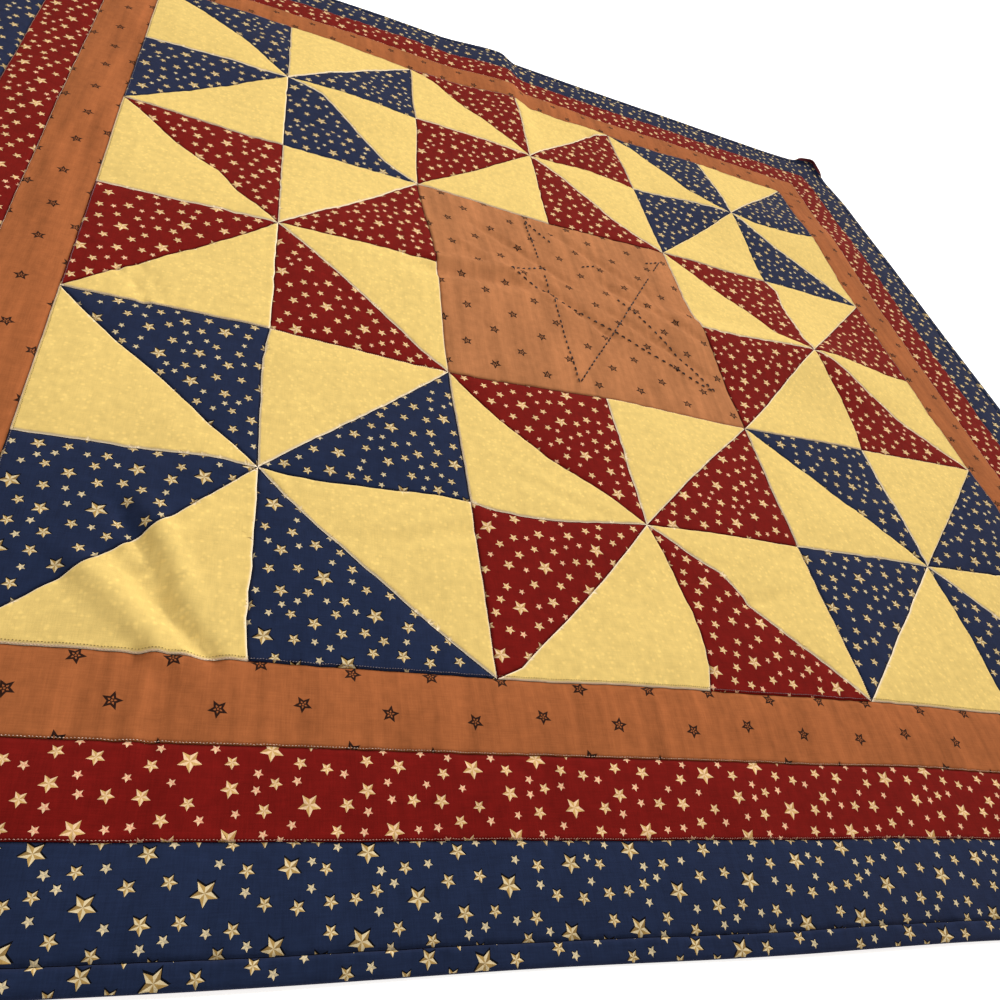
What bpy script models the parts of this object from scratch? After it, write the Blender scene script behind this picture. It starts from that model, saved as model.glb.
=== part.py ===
# Nine patch quilt: pinwheel blocks, three borders, binding and backing, lying on a flat surface.
# Metres, +Z up, +X to the right and +Y to the far side; origin at the middle of the footprint.
# Places are charted in blocks from the middle of the centre block, as a quilter would chart them.

import math

import bmesh
import bpy
from mathutils import Vector

# Driving dimensions, metres
BLOCK = 0.2975
TAN_BORDER = 0.0500
RED_BORDER = 0.0490
NAVY_BORDER = 0.0510
BINDING = 0.0115
FAR_SCALE = 0.955
BACKING_THICKNESS = 0.0010
FIELD_THICKNESS = 0.0036
EDGE_THICKNESS = 0.0024
EDGE_ROUND = 0.0030
EDGE_WAVE = 0.0012
PUFF = 0.0019
GAP = 0.0003

# The far right corner curls over: length of the curl along the diagonal, radius of its outside
CURL_LENGTH = 0.030
CURL_RADIUS = 0.0085

# Round swells where the cloth stands clear of the surface: middle, half sizes, height in metres
SWELL_COLUMNS = ("x", "y", "half_x", "half_y", "height")
SWELLS = (
    (-1.05, 1.15, 0.80, 0.75, 0.0070),
    (-0.72, 0.98, 0.30, 0.28, 0.0035),
    (-0.25, 1.00, 0.55, 0.36, 0.0040),
    (-0.55, 1.85, 0.75, 0.60, 0.0050),
    (-1.52, 0.48, 0.42, 0.50, 0.0045),
    (-0.75, 0.00, 0.75, 0.42, 0.0045),
    (1.02, 1.08, 0.48, 0.50, 0.0090),
    (1.50, 1.00, 0.50, 0.40, 0.0070),
    (1.02, 0.02, 0.50, 0.46, 0.0072),
    (1.45, -0.75, 0.45, 0.60, 0.0040),
    (0.25, -1.95, 0.60, 0.22, 0.0025),
    (-1.10, -1.98, 0.55, 0.20, 0.0020),
)

# Long soft ridges, most of them creases from folding: ends, widths of the slopes on the left and
# on the right of the way from start to end, height in metres
RIDGE_COLUMNS = ("x0", "y0", "x1", "y1", "left", "right", "height")
RIDGES = (
    (0.00, 1.32, 0.00, 2.10, 0.32, 0.10, 0.0085),
    (1.10, 0.00, 0.42, 0.00, 0.36, 0.10, 0.0050),
    (0.42, 0.00, -0.45, -0.12, 0.22, 0.16, 0.0022),
    (-1.28, -1.42, -1.12, -1.02, 0.14, 0.10, 0.0026),
)

# Where the piecing is pulled out of square: place, reach, pull along X and Y in metres
PULL_COLUMNS = ("x", "y", "reach", "pull_x", "pull_y")
PULLS = (
    (-0.50, -0.50, 0.60, -0.0030, -0.0080),
    (-0.50, -0.95, 0.70, 0.0000, -0.0040),
    (-1.00, -1.00, 0.36, -0.0020, 0.0000),
    (0.45, -0.32, 0.55, 0.0022, -0.0055),
    (0.00, 0.50, 0.48, -0.0022, -0.0060),
    (0.50, 1.50, 0.42, -0.0030, -0.0075),
    (-0.50, 0.50, 0.45, -0.0070, 0.0000),
    (-0.50, 1.50, 0.40, 0.0040, -0.0025),
    (0.00, -1.50, 0.46, 0.0085, 0.0020),
    (0.50, -1.50, 0.40, 0.0030, 0.0028),
    (1.50, 1.00, 0.45, -0.0060, 0.0060),
)

# Cells of the sheets' grid: along a block, and across each border from the tan one outward.
# The far side has more of them, for the corner that curls over.
BLOCK_CELLS = 8
NEAR_CELLS = (2, 1, 1, 1)
FAR_CELLS = (2, 1, 5, 2)

# Colours of the cloths, linear
TAN = (0.46, 0.19, 0.075)
RED = (0.24, 0.016, 0.018)
NAVY = (0.013, 0.025, 0.085)
WINE = (0.12, 0.012, 0.018)
CLOTH_ROUGHNESS = 0.85

# The layers of points that the sheets lie between, counted from the surface upward
BACKING_LAYERS = (0, 1)
TOP_LAYERS = (2, 3)

FIELD_EDGE = 1.5
SIDES = ("left", "middle", "right")
ROWS = ("near", "middle", "far")


def border_lines(scale):
    """Distances of the seams from the middle, in blocks, from the field's edge to the outer edge."""
    lines = [FIELD_EDGE]
    for width in (TAN_BORDER, RED_BORDER, NAVY_BORDER, BINDING):
        lines.append(lines[-1] + width * scale / BLOCK)
    return lines


# The left and near borders, and the slightly narrower right and far ones
NEAR_LINES = border_lines(1.0)
FAR_LINES = border_lines(FAR_SCALE)
# The field lies off the middle by half of the difference
FIELD_OFFSET = (NEAR_LINES[-1] - FAR_LINES[-1]) * BLOCK / 2


def grid_lines():
    """The lines of the chart on which all the sheets' points lie, in blocks."""
    lines = [step / BLOCK_CELLS - FIELD_EDGE for step in range(3 * BLOCK_CELLS + 1)]
    for side, rings, counts in ((-1, NEAR_LINES, NEAR_CELLS), (1, FAR_LINES, FAR_CELLS)):
        for inner, outer, cells in zip(rings, rings[1:], counts):
            lines += [side * (inner + (outer - inner) * (n + 1) / cells) for n in range(cells)]
    return sorted(lines)


GRID = grid_lines()


def fade(t):
    """1 at t = 0, falling smoothly to exactly 0 at t = 1 and beyond."""
    t = min(abs(t), 1.0)
    return 1.0 - t * t * (3.0 - 2.0 * t)


def rows_of(columns, table):
    return [dict(zip(columns, values)) for values in table]


def ridge_height(x, y, row):
    length = math.hypot(row["x1"] - row["x0"], row["y1"] - row["y0"])
    way_x = (row["x1"] - row["x0"]) / length
    way_y = (row["y1"] - row["y0"]) / length
    along = (x - row["x0"]) * way_x + (y - row["y0"]) * way_y
    across = (y - row["y0"]) * way_x - (x - row["x0"]) * way_y
    beyond = max(-along, along - length, 0.0)
    width = row["left"] if across > 0 else row["right"]
    return row["height"] * fade(across / width) * fade(beyond / row["left"])


def lift(x, y):
    """Height of the cloth's underside over the surface; exactly 0 where it lies flat."""
    height = 0.0
    for row in rows_of(SWELL_COLUMNS, SWELLS):
        reach = math.hypot((x - row["x"]) / row["half_x"], (y - row["y"]) / row["half_y"])
        height += row["height"] * fade(reach)
    for row in rows_of(RIDGE_COLUMNS, RIDGES):
        height += ridge_height(x, y, row)
    return height


def edge_distance(x, y):
    """Distance in blocks to the nearest outer edge."""
    near, far = NEAR_LINES[-1], FAR_LINES[-1]
    return min(near + x, near + y, far - x, far - y)


def top_thickness(x, y):
    """Thickness of the pieced top and its filling: plump between seams, thin at the edges."""
    outside = max(abs(x), abs(y)) - FIELD_EDGE
    if outside <= 0:
        puff = abs(math.sin(2 * math.pi * x) * math.sin(2 * math.pi * y))
        return FIELD_THICKNESS + PUFF * math.sqrt(puff)
    share = min(outside / (FAR_LINES[-1] - FIELD_EDGE), 1.0)
    thickness = FIELD_THICKNESS + (EDGE_THICKNESS - FIELD_THICKNESS) * share
    rounding = max(1.0 - edge_distance(x, y) * BLOCK / EDGE_ROUND, 0.0)
    return thickness * math.sqrt(1.0 - 0.75 * rounding * rounding)


def edge_wave(outward, along):
    """How far an outer edge wavers inward; it reaches its full width at the middle."""
    share = max(outward - FIELD_EDGE, 0.0) / (NEAR_LINES[-1] - FIELD_EDGE)
    return EDGE_WAVE * share * (1 - math.cos(2 * math.pi * along)) / 2


def pulled(x, y):
    """The place in metres of a point charted at x, y in blocks, out of square as it is sewn."""
    place = Vector((x * BLOCK + FIELD_OFFSET, y * BLOCK + FIELD_OFFSET))
    for row in rows_of(PULL_COLUMNS, PULLS):
        share = fade(math.hypot(x - row["x"], y - row["y"]) / row["reach"])
        place += Vector((row["pull_x"], row["pull_y"])) * share
    place.x -= math.copysign(edge_wave(abs(x), y), x)
    place.y -= math.copysign(edge_wave(abs(y), x), y)
    return place


def curled(place, height):
    """Rolls a point near the far right corner up and over the corner's diagonal."""
    diagonal = Vector((1.0, 1.0)).normalized()
    corner = Vector((1.0, 1.0)) * (FAR_LINES[-1] * BLOCK + FIELD_OFFSET)
    beyond = CURL_LENGTH - (corner - place).dot(diagonal)
    if beyond <= 0:
        return Vector((*place, height))
    angle = beyond / CURL_RADIUS
    radius = CURL_RADIUS - height
    place = place + diagonal * (radius * math.sin(angle) - beyond)
    return Vector((*place, CURL_RADIUS - radius * math.cos(angle)))


def layer_height(x, y, layer):
    """Height of one of the four layers of points over the surface."""
    heights = (0.0, BACKING_THICKNESS, BACKING_THICKNESS + GAP)
    if layer < len(heights):
        return lift(x, y) + heights[layer]
    return lift(x, y) + heights[-1] + top_thickness(x, y)


def join_level_faces(mesh, faces):
    """Joins neighbouring faces in one level plane, so that what lies flat is one true flat."""
    level = {face for face in faces if len({round(v.co.z, 7) for v in face.verts}) == 1}
    edges = {edge for face in level for edge in face.edges if set(edge.link_faces) <= level}
    verts = {vert for face in level for vert in face.verts if set(vert.link_faces) <= level}
    bmesh.ops.dissolve_limit(mesh, angle_limit=0.0001, verts=list(verts), edges=list(edges))


def chart_lines(low, high):
    """The grid's lines across a piece, with its own edges half a gap inside its seams."""
    inset = GAP / 2 / BLOCK
    inner = [line for line in GRID if low + 2 * inset < line < high - 2 * inset]
    return [low + inset, *inner, high - inset]


def sheet_faces(mesh, under, over):
    """Triangles on both faces, cut the same way in each, and the wall round the rim."""
    below, above = [], []
    rows, columns = len(over) - 1, len(over[0]) - 1
    for i in range(rows):
        for j in range(columns):
            for corners in (((0, 0), (0, 1), (1, 1)), ((0, 0), (1, 1), (1, 0))):
                above.append(mesh.faces.new([over[i + a][j + b] for a, b in corners]))
                below.append(mesh.faces.new([under[i + a][j + b] for a, b in reversed(corners)]))
    rim = [(0, j) for j in range(columns)] + [(i, columns) for i in range(rows)]
    rim += [(rows, j) for j in range(columns, 0, -1)] + [(i, 0) for i in range(rows, 0, -1)]
    for (i, j), (k, m) in zip(rim, rim[1:] + rim[:1]):
        wall = [under[i][j], under[k][m], over[k][m], over[i][j]]
        # Walls that face each other across a seam are cut along the same diagonal
        start = 0 if (i, j) < (k, m) else 1
        mesh.faces.new([wall[(start + n) % 4] for n in (0, 1, 2)])
        mesh.faces.new([wall[(start + n) % 4] for n in (2, 3, 0)])
    return below, above


def make_sheet(name, span_x, span_y, layers, material):
    """A closed sheet between two layers, over a span of the chart."""
    mesh = bmesh.new()
    points = []
    for layer in layers:
        rows = []
        for y in chart_lines(*span_y):
            row = []
            for x in chart_lines(*span_x):
                row.append(mesh.verts.new(curled(pulled(x, y), layer_height(x, y, layer))))
            rows.append(row)
        points.append(rows)
    below, above = sheet_faces(mesh, *points)
    join_level_faces(mesh, below)
    if layers == BACKING_LAYERS:
        join_level_faces(mesh, above)
    data = bpy.data.meshes.new(name)
    mesh.to_mesh(data)
    mesh.free()
    data.materials.append(material)
    sheet = bpy.data.objects.new(name, data)
    bpy.context.scene.collection.objects.link(sheet)
    return sheet


def make_blocks(cloths):
    """The nine blocks: navy pinwheels at the corners, red ones between, plain tan in the centre."""
    for i, row in enumerate(ROWS):
        for j, side in enumerate(SIDES):
            steps_out = abs(i - 1) + abs(j - 1)
            cloth = cloths[("tan", "red", "navy")[steps_out]]
            span_x = (j - FIELD_EDGE, j - FIELD_EDGE + 1)
            span_y = (i - FIELD_EDGE, i - FIELD_EDGE + 1)
            make_sheet(f"block_{row}_{side}", span_x, span_y, TOP_LAYERS, cloth)


def make_border(name, ring, cloth):
    """Four strips round the quilt: two between the seams, then two across their ends."""
    near_in, near_out = -NEAR_LINES[ring], -NEAR_LINES[ring + 1]
    far_in, far_out = FAR_LINES[ring], FAR_LINES[ring + 1]
    make_sheet(f"{name}_left", (near_out, near_in), (near_in, far_in), TOP_LAYERS, cloth)
    make_sheet(f"{name}_right", (far_in, far_out), (near_in, far_in), TOP_LAYERS, cloth)
    make_sheet(f"{name}_near", (near_out, far_out), (near_out, near_in), TOP_LAYERS, cloth)
    make_sheet(f"{name}_far", (near_out, far_out), (far_in, far_out), TOP_LAYERS, cloth)


def make_quilt():
    colours = {"tan": TAN, "red": RED, "navy": NAVY, "wine": WINE}
    cloths = {name: cloth_material(name, colour) for name, colour in colours.items()}
    make_blocks(cloths)
    borders = (("tan_border", "tan"), ("red_border", "red"), ("navy_border", "navy"))
    for ring, (name, cloth) in enumerate((*borders, ("binding", "navy"))):
        make_border(name, ring, cloths[cloth])
    whole = (-NEAR_LINES[-1], FAR_LINES[-1])
    make_sheet("backing", whole, whole, BACKING_LAYERS, cloths["wine"])


def clear_scene():
    for item in list(bpy.data.objects):
        bpy.data.objects.remove(item, do_unlink=True)


def cloth_material(name, colour):
    material = bpy.data.materials.new(f"{name} cotton")
    material.use_nodes = True
    shader = material.node_tree.nodes["Principled BSDF"]
    shader.inputs["Base Color"].default_value = (*colour, 1.0)
    shader.inputs["Roughness"].default_value = CLOTH_ROUGHNESS
    shader.inputs["Metallic"].default_value = 0.0
    return material


clear_scene()
make_quilt()
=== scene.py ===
# Looks of the nine patch quilt: cloths, star prints, sewing and folds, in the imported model's frame.
# Metres, +Z up, the camera on the near side. Places on the cloth are charted in blocks from the
# middle of the centre block, +X to the right and +Y to the far side.

import math
from collections import namedtuple

import bpy
import numpy as np
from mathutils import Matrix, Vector
from mathutils.geometry import delaunay_2d_cdt


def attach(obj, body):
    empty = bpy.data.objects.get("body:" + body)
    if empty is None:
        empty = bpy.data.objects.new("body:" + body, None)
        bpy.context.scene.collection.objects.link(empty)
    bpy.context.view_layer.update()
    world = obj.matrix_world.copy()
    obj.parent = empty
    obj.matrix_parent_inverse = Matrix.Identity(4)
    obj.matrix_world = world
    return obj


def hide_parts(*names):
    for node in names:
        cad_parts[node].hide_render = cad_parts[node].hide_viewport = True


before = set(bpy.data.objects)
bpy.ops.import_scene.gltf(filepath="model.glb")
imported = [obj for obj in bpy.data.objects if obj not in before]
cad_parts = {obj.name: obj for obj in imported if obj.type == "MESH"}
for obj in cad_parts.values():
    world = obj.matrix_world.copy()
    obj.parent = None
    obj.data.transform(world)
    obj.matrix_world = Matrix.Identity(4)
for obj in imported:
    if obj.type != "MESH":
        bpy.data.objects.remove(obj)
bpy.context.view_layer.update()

# Sizes of the pieces, metres, as the solids have them
BLOCK = 0.2975
BORDERS = (0.0500, 0.0490, 0.0510, 0.0115)
BORDER_NAMES = ("tan_border", "red_border", "navy_border", "binding")
FAR_SCALE = 0.955
BACKING_THICKNESS = 0.0010
FIELD_THICKNESS = 0.0036
EDGE_THICKNESS = 0.0024
EDGE_ROUND = 0.0030
EDGE_FLATTENING = 0.75
EDGE_WAVE = 0.0012
GAP = 0.0003
INSET = GAP / 2 / BLOCK

# The flap that rolls over at the far right corner, metres: its depth along the diagonal, its reach
# across it, the rounding of its fold at the diagonal and the radius of the roll
CURL_LENGTH = 0.0185
CURL_REACH = 0.032
CURL_SOFTNESS = 0.004
CURL_RADIUS = 0.0047

# In blocks: the field's edge, one millimetre, the rim in which the folds die away, how near the
# outer edge points are on it, and the margins of the maps
FIELD_EDGE = 1.5
MM = 0.001 / BLOCK
CALM_RIM = 10 * MM
RIM_WIDTH = 0.2 * MM
MAP_MARGIN = 8 * MM
BACKING_MARGIN = 2 * MM

# Swells, ridges and pulls of the solids: places in blocks, heights and pulls in metres
SWELLS = (
    # x, y, half_x, half_y, height
    (-1.05, 1.15, 0.80, 0.75, 0.0070),
    (-0.72, 0.98, 0.30, 0.28, 0.0035),
    (-0.25, 1.00, 0.55, 0.36, 0.0040),
    (-0.55, 1.85, 0.75, 0.60, 0.0050),
    (-1.52, 0.48, 0.42, 0.50, 0.0045),
    (-0.75, 0.00, 0.75, 0.42, 0.0045),
    (1.02, 1.08, 0.48, 0.50, 0.0090),
    (1.50, 1.00, 0.50, 0.40, 0.0070),
    (1.02, 0.02, 0.50, 0.46, 0.0072),
    (1.45, -0.75, 0.45, 0.60, 0.0040),
    (0.25, -1.95, 0.60, 0.22, 0.0025),
    (-1.10, -1.98, 0.55, 0.20, 0.0020),
    (2.02, 2.02, 0.20, 0.20, 0.0080),
)
RIDGES = (
    # x0, y0, x1, y1, width on the left, width on the right, height
    (0.00, 1.32, 0.00, 2.10, 0.32, 0.10, 0.0085),
    (1.10, 0.00, 0.42, 0.00, 0.36, 0.10, 0.0050),
    (0.42, 0.00, -0.45, -0.12, 0.22, 0.16, 0.0022),
    (-1.28, -1.42, -1.12, -1.02, 0.14, 0.10, 0.0026),
)
PULLS = (
    # x, y, reach, pull_x, pull_y
    (-0.50, -0.50, 0.60, -0.0030, -0.0080),
    (-0.50, -0.95, 0.70, 0.0000, -0.0040),
    (-1.00, -1.00, 0.36, -0.0020, 0.0000),
    (0.45, -0.32, 0.55, 0.0022, -0.0055),
    (0.00, 0.50, 0.48, -0.0022, -0.0060),
    (0.50, 1.50, 0.42, -0.0030, -0.0075),
    (-0.50, 0.50, 0.45, -0.0070, 0.0000),
    (-0.50, 1.50, 0.40, 0.0040, -0.0025),
    (0.00, -1.50, 0.46, 0.0085, 0.0020),
    (0.50, -1.50, 0.40, 0.0030, 0.0028),
    (1.50, 1.00, 0.45, -0.0060, 0.0060),
    (2.02, 2.02, 0.45, -0.0150, 0.0060),
    (0.40, 1.50, 0.20, 0.0000, 0.0080),
)

# How thick the pieced top stays under its deepest creases, metres
LEAST_THICKNESS = 0.0008
# Creases of the cloth alone: ends in thousandths of a block, half width in millimetres, height in
# tenths of one, below 0 for a trough
CREASES = (
    # x0, y0, x1, y1, half_width, height
    (-1260, -1190, -1190, -1310, 10, -36),
    (-1225, -1330, -1090, -1475, 9, -40),
    (-1190, -1215, -1140, -1320, 14, 40),
    (-1290, -1350, -1165, -1475, 14, 42),
    (-1140, -1500, -1150, -1650, 7, -24),
    (-1190, -1500, -1205, -1650, 6, -14),
    (-720, -1165, -530, -1100, 8, -18),
    (-535, -1380, -505, -1310, 3, -8),
    (-360, -800, -180, -920, 6, -8),
    (-330, -850, -130, -960, 5, 6),
    (-1450, -330, -1330, -440, 6, -10),
    (-1120, -440, -960, -480, 6, -9),
    (-520, -50, -180, -10, 13, -36),
    (-500, 30, -200, 60, 11, 30),
    (-100, 0, 60, -150, 10, -32),
    (180, 110, 430, -60, 11, -34),
    (-300, 300, -20, 100, 9, -26),
    (20, 400, 300, 160, 9, -26),
    (-380, 160, -120, -40, 9, 22),
    (130, -60, 420, -260, 8, -24),
    (-440, 360, -430, -200, 3, 10),
    (-360, -260, -350, -480, 3, -14),
    (200, 1150, 420, 1330, 7, -10),
    (620, 720, 900, 560, 7, -8),
    (-1324, -374, -1276, -460, 5, -16),
    (-1345, -400, -1300, -530, 6, -18),
    (-913, 700, -790, 690, 6, -12),
    (-829, -227, -711, -360, 6, -12),
    (221, -1102, 223, -1168, 4, -10),
    (225, -1233, 370, -1190, 7, -18),
    (-336, -901, -168, -970, 8, -12),
    (152, 1440, 387, 1420, 8, -18),
    (219, 1391, 400, 1455, 8, 16),
)
CREASE_UNITS = (1000, 1000, 1000, 1000, 1000, 10000)
# How far a crease runs out beyond its ends, in half widths
CREASE_ENDS = 3

# The eight seams of a pinwheel, from its middle to its sides' middles and corners
SPOKES = ("E", "NE", "N", "NW", "W", "SW", "S", "SE")
SPOKE_ENDS = ((1, 0), (1, 1), (0, 1), (-1, 1), (-1, 0), (-1, -1), (0, -1), (1, -1))
SPOKE_STEPS = 16
# How far seams bow at each eighth of the way out, in thousandths of a block, towards the far side
# or, for the seams along Y, to the right
BOWS = {
    "far_left": {
        "NW": (14, 28, 38, 42, 38, 28, 14),
        "SE": (40, 68, 45, 14, -10, -28, -18),
    },
    "far_middle": {
        "NW": (0, 0, 10, 25, 40, 50, 30),
        "NE": (12, 20, 20, 21, 30, 35, 20),
        "E": (3, 10, 30, 44, 40, 33, 20),
        "SE": (15, 25, 15, 0, -28, -19, -10),
    },
    "far_right": {
        "NW": (-30, -55, -63, -12, 30, 60, 35),
        "E": (-15, -31, -30, -28, -25, -20, -10),
        "SE": (0, 0, 5, 10, 15, 20, 10),
        "S": (5, 8, 10, 10, 8, 5, 0),
        "W": (10, 15, 20, 20, 15, 10, 5),
    },
    "middle_left": {
        "NW": (0, 0, 33, 19, -5, 0, 0),
        "SW": (-6, -13, -8, 0, 0, 0, 0),
    },
    "middle_right": {
        "NW": (-30, -40, -20, 0, 0, 0, 0),
        "N": (0, 0, 3, 5, 10, 22, 33),
        "SE": (33, 40, 30, 20, 10, 0, 0),
        "S": (5, 12, 20, 28, 30, 28, 15),
    },
    "near_left": {
        "E": (-8, -12, -9, -4, 0, 4, 4),
        "SE": (-12, -19, -20, -17, -15, -12, -8),
        "S": (0, -1, -3, -5, -7, -8, -7),
        "SW": (-4, -10, -21, -18, -13, -10, -5),
        "N": (-3, -6, -9, -11, -13, -13, -8),
        "NW": (-6, -10, -6, -4, -12, -15, -8),
    },
    "near_middle": {
        "NW": (-6, -12, -30, -45, -45, -42, -20),
        "SE": (12, 21, 44, 0, 0, 0, 0),
        "S": (15, 28, 32, 34, 34, 31, 20),
        "SW": (-8, -14, -19, -22, -24, -25, -30),
        "W": (-6, -12, -20, -25, -26, -24, -18),
    },
}
SEAM_WOBBLE = 0.0004

# Soft waves of the cloth and its puckers beside seams: how many, shortest and longest, height
RIPPLES = (14, 0.045, 0.130, 0.00045)
PUCKERS = (16, 0.010, 0.019, 0.00022)
PUCKER_REACH = 0.012

# Relief beside a seam, metres: the cloth whose edges are turned under stands up beside it
SEAM_DEPTH = 0.0006
SEAM_RAISE = 0.0005
SEAM_ALLOWANCE = 0.0075
SEAM_ROLL = 0.0012
SEAM_DIP = 0.0020
PILLOW = 0.0017
PILLOW_REACH = 0.014
# How far from a seam the lower side gets painted shade, and the raised folded edge a painted
# highlight, metres
SEAM_SHADE = 0.0019
PAINTED_HIGHLIGHT_REACH = 0.0013

# Which cloth stands up beside a seam: the one with the higher rank
RANKS = {
    "cream": 6, "navy": 5, "red": 5, "tan": 5,
    "tan_border": 4, "red_border": 3, "binding": 2, "navy_border": 1,
}
# The rank where strips of one cloth meet and neither side is in shade
JOINT_RANK = 0
# The ranks met from the field outwards; beyond the binding there is none
RING_RANKS = (RANKS["cream"], *(RANKS[name] for name in BORDER_NAMES), None)
# How strong the painted shade beside a seam is, by the rank across it
SEAM_SHARES = np.array([0.0, 0.35, 0.35, 0.5, 0.4, 1.0, 0.5])

# Mesh sizes, metres: steps along lines, rows beside them, and fillings with their clearance
ROW_STEP = 0.003
ROWS = (0.0004, 0.0009, 0.0018, 0.0034)
ROW_CLEARANCE = 0.85
FILL_STEP = 0.0055
FILL_CLEAR = 0.85 * FILL_STEP
BACKING_STEP = 0.012
BACKING_CLEAR = 0.5 * BACKING_STEP
CURL_STEP = 0.0014
CURL_CLEAR = 0.5 * CURL_STEP
CURL_MARGIN = 0.002
CURL_SPAN = 1.5 * CURL_REACH
UNDER_STEP = 0.024
UNDER_CLEAR = 6 * MM
# How far a filling's points stray from a grid, in its steps
LATTICE_JITTER = 0.22
# How close points are joined by the triangulation, which keeps what lies inside the lines
JOIN_DISTANCE = 1e-7
INSIDE_ONLY = 1
SHARP_ANGLE = 60.0

# Tones of a print's faces, read by the cloths' materials
GROUND, LIGHT, GOLD, DEEP, SHADOW, INK = range(6)
TONES = 6

# The printed repeat: its side, and how many stars of which radii it has, metres
REPEAT = 0.150
STAR_KINDS = (
    (11, 0.0056, 0.0064),
    (15, 0.0045, 0.0050),
    (50, 0.0034, 0.0041),
    (44, 0.0024, 0.0028),
)
STAR_INNER = 0.47
STAR_TURN = 11.0
STAR_TRIES = 40
SHADOW_SCALE = 1.16
SHADOW_SHIFT = (0.02, 0.10)
STAR_FACETS = (LIGHT, GOLD, LIGHT, DEEP, LIGHT, GOLD, LIGHT, DEEP, LIGHT, GOLD)
SMALL_STAR = 0.0030
SMALL_FACETS = (LIGHT, INK, INK, LIGHT, INK, LIGHT, INK, LIGHT, INK, LIGHT)
OUTLINE_PITCH = (0.048, 0.025)
OUTLINE_JITTER = 0.003
OUTLINE_RADIUS = 0.0055
OUTLINE_INNER = 0.46
OUTLINE_RINGS = (1.0, 0.47, 0.38, 0.15)
OUTLINE_REPEAT = tuple(round(REPEAT / pitch) * pitch for pitch in OUTLINE_PITCH)

# The cloths that have outlined stars
OUTLINED = ("tan", "faded_tan")

# The backing ends inside the binding, which wraps its edge
BACKING_INSET = 0.0015
BINDING_WRAP = 0.0012

# Stitches: pitch, length and the thread's radius, metres, the rings of a stitch as shares of its
# length with their rise and width in radii, and the corners of a ring
Stitch = namedtuple("Stitch", "pitch length radius rings sides")
SEAM_STITCH = Stitch(0.00165, 0.0012, 0.00026,
                     ((0.0, -0.4, 0.2), (0.5, 1.0, 1.0), (1.0, -0.4, 0.2)), 3)
QUILT_STITCH = Stitch(0.0075, 0.0048, 0.00078,
                      ((0.0, -0.5, 0.15), (0.28, 1.0, 1.0), (0.72, 1.0, 1.0), (1.0, -0.5, 0.15)), 4)
# How unevenly they are sewn: places in pitches, lengths as shares, and aside in metres
STITCH_DRIFT = 0.06
STITCH_LENGTHS = (0.85, 1.15)
STITCH_WANDER = 0.00012
# Cloth that is far from any seam, metres
OPEN_CLOTH = 0.05
# The centre star's points in blocks, and the stretches of its strokes that still show
CENTRE_STAR = ((-0.114, 0.452), (0.448, 0.398), (0.440, -0.352), (-0.083, -0.460), (-0.25, 0.064))
CENTRE_STROKES = (
    # from, to, where the stretch starts and ends as shares of the stroke
    (0, 3, 0.00, 0.28),
    (0, 3, 0.38, 1.00),
    (3, 1, 0.00, 0.84),
    (3, 1, 0.90, 1.00),
    (4, 2, 0.00, 1.00),
    (1, 4, 0.00, 0.13),
    (1, 4, 0.44, 0.56),
    (1, 4, 0.74, 1.00),
    (2, 0, 0.00, 0.50),
    (2, 0, 0.84, 1.00),
)

# Colours of the cloths and prints, linear
CREAM = (0.72, 0.525, 0.178)
NAVY = (0.0112, 0.0206, 0.056)
NAVY_SHADOW = (0.0020, 0.0028, 0.0060)
RED = (0.157, 0.0066, 0.0056)
TAN = (0.330, 0.103, 0.035)
FADED_TAN = (0.385, 0.153, 0.062)
TAN_INK = (0.022, 0.009, 0.007)
WINE = (0.160, 0.035, 0.045)
CREAM_STAR = (0.67, 0.55, 0.34)
GOLD_FACET = (0.41, 0.265, 0.09)
OLIVE_FACET = (0.26, 0.165, 0.06)
GREY_STAR = (0.43, 0.37, 0.26)
PALE_STAR = (0.78, 0.55, 0.34)
BRASS_FACET = (0.60, 0.38, 0.14)
MOSS_FACET = (0.48, 0.28, 0.10)
ROSE_STAR = (0.68, 0.32, 0.20)
# Painted highlight on the raised folded edge beside a seam
PAINTED_EDGE_HIGHLIGHT = (1.0, 0.86, 0.68)
# Painted shade beside seams and in the gaps between pieces
PAINTED_SEAM_SHADE = (0.10, 0.08, 0.08)
WHITE = (1.0, 1.0, 1.0)
BLACK = (0.0, 0.0, 0.0)

# Colours of the threads, and the painted shade in the twist's hollows: its scale, strength and stops
THREADS = {
    "pink": (1.0, 0.76, 0.62),
    "rose": (0.66, 0.36, 0.30),
    "lilac": (0.34, 0.30, 0.36),
    "olive": (0.24, 0.15, 0.04),
    "brown": (0.028, 0.010, 0.008),
}
TWIST_SCALE = 2600.0
TWIST_SHADE = 0.72
TWIST_STOPS = (0.3, 0.7)
THREAD_ROUGHNESS = 0.6

# Looks of the cloths: how uneven the threads, the blotches and the streaks are, how dark the painted
# shade at a seam is, how strong the flecks, the painted highlight on raised seam edges and the haze
# of fluff are
Look = namedtuple("Look", "slub mottle streak shade dots pale veil")
LOOKS = {
    "cream": Look(0.12, 0.36, 0.06, 0.80, 0.14, 1.0, 0.0),
    "navy": Look(0.40, 0.45, 0.20, 0.94, 0.0, 0.0, 0.035),
    "red": Look(0.36, 0.50, 0.25, 0.85, 0.0, 0.0, 0.025),
    "tan": Look(0.30, 0.40, 0.62, 0.50, 0.0, 0.0, 0.05),
    "wine": Look(0.40, 0.30, 0.10, 0.0, 0.0, 0.0, 0.0),
}
VEIL = (1.0, 0.60, 0.35)
VEIL_ROUGHNESS = 0.6
COTTON_SPECULAR = 0.04
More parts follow.
